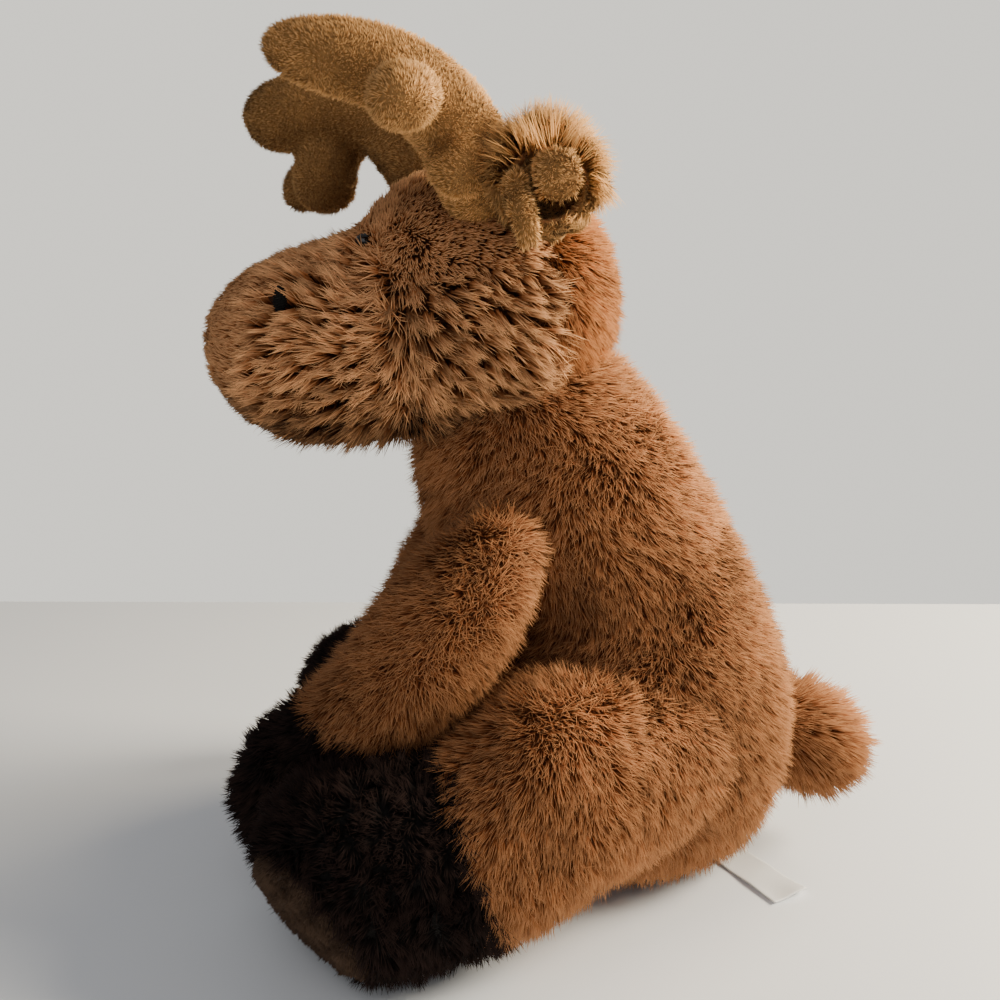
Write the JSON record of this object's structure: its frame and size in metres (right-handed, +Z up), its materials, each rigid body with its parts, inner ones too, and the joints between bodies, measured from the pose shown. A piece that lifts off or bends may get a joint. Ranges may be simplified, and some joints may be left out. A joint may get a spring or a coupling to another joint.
{
  "type": "plush deer",
  "caption": "Seated plush deer with stuffed velvet antlers, bendable sewn limbs, fur-fabric covers and a pellet-weighted seat.",
  "frame": {"origin": "centre of the bounding box's base, on the table under the seated toy", "axes": "+Z up, -Y the way the muzzle points, +X the toy's left side"},
  "size_m": [0.1972, 0.246, 0.2987],
  "materials": {
    "body_fur": "matte",
    "head_fur": "matte",
    "rear_panel_fur": "matte",
    "antler_velvet": "matte",
    "hoof_fur": "matte",
    "sole_velvet": "matte",
    "eye_gloss": "gloss",
    "nose_stitching": "matte",
    "label_satin": "satin",
    "fibre_filling": "matte",
    "pouch_cloth": "matte",
    "washer_plastic": "satin"
  },
  "bodies": {
    "torso": {"torso_cover": "body_fur", "torso_filling": "fibre_filling", "pellet_pouch": "pouch_cloth", "label": "label_satin"},
    "head": {"head_cover": "head_fur", "head_rear_panel": "rear_panel_fur", "head_filling": "fibre_filling", "eye_left": "eye_gloss", "eye_washer_left": "washer_plastic", "nostril_stitch_left": "nose_stitching", "eye_right": "eye_gloss", "eye_washer_right": "washer_plastic", "nostril_stitch_right": "nose_stitching"},
    "tail": {"tail": "body_fur"},
    "antler_left": {"antler_left": "antler_velvet"},
    "ear_left": {"ear_left": "head_fur", "ear_lining_left": "antler_velvet"},
    "foreleg_left": {"foreleg_left": "body_fur", "fore_hoof_left": "hoof_fur", "foreleg_filling_left": "fibre_filling"},
    "hind_leg_left": {"hind_leg_left": "body_fur", "hind_hoof_left": "hoof_fur", "hind_sole_left": "sole_velvet", "hind_leg_filling_left": "fibre_filling"},
    "antler_right": {"antler_right": "antler_velvet"},
    "ear_right": {"ear_right": "head_fur", "ear_lining_right": "antler_velvet"},
    "foreleg_right": {"foreleg_right": "body_fur", "fore_hoof_right": "hoof_fur", "foreleg_filling_right": "fibre_filling"},
    "hind_leg_right": {"hind_leg_right": "body_fur", "hind_hoof_right": "hoof_fur", "hind_sole_right": "sole_velvet", "hind_leg_filling_right": "fibre_filling"}
  },
  "joints": [
    {"name": "head_nod", "type": "hinge", "parent": "torso", "child": "head", "pos_m": [0, -0.009, 0.163], "axis": [1, 0, 0], "range_deg": [-10, 14], "stiffness_Nm_per_rad": 0.6, "springref_deg": -1.72},
    {"name": "tail_lift", "type": "hinge", "parent": "torso", "child": "tail", "pos_m": [0, 0.083, 0.075], "axis": [1, 0, 0], "range_deg": [0, 35], "stiffness_Nm_per_rad": 0.02},
    {"name": "antler_left_bend", "type": "hinge", "parent": "head", "child": "antler_left", "pos_m": [0.03, -0.017, 0.266], "axis": [-1, 0, 0], "range_deg": [0, 12], "stiffness_Nm_per_rad": 0.02},
    {"name": "ear_left_fold", "type": "hinge", "parent": "head", "child": "ear_left", "pos_m": [0.04, 0.012, 0.25], "axis": [0, 0, 1], "range_deg": [0, 30], "stiffness_Nm_per_rad": 0.01},
    {"name": "foreleg_left_lift", "type": "hinge", "parent": "torso", "child": "foreleg_left", "pos_m": [0.061, -0.004, 0.149], "axis": [-1, 0, 0], "range_deg": [0, 35], "stiffness_Nm_per_rad": 0.05},
    {"name": "hind_leg_left_splay", "type": "hinge", "parent": "torso", "child": "hind_leg_left", "pos_m": [0.05, 0.052, 0.05], "axis": [0, 0, 1], "range_deg": [0, 18], "stiffness_Nm_per_rad": 0.1},
    {"name": "antler_right_bend", "type": "hinge", "parent": "head", "child": "antler_right", "pos_m": [-0.03, -0.017, 0.266], "axis": [-1, 0, 0], "range_deg": [0, 12], "stiffness_Nm_per_rad": 0.02},
    {"name": "ear_right_fold", "type": "hinge", "parent": "head", "child": "ear_right", "pos_m": [-0.04, 0.012, 0.25], "axis": [0, 0, -1], "range_deg": [0, 30], "stiffness_Nm_per_rad": 0.01},
    {"name": "foreleg_right_lift", "type": "hinge", "parent": "torso", "child": "foreleg_right", "pos_m": [-0.061, 0.006, 0.149], "axis": [-1, 0, 0], "range_deg": [0, 35], "stiffness_Nm_per_rad": 0.05},
    {"name": "hind_leg_right_splay", "type": "hinge", "parent": "torso", "child": "hind_leg_right", "pos_m": [-0.05, 0.052, 0.05], "axis": [0, 0, -1], "range_deg": [0, 18], "stiffness_Nm_per_rad": 0.1}
  ]
}
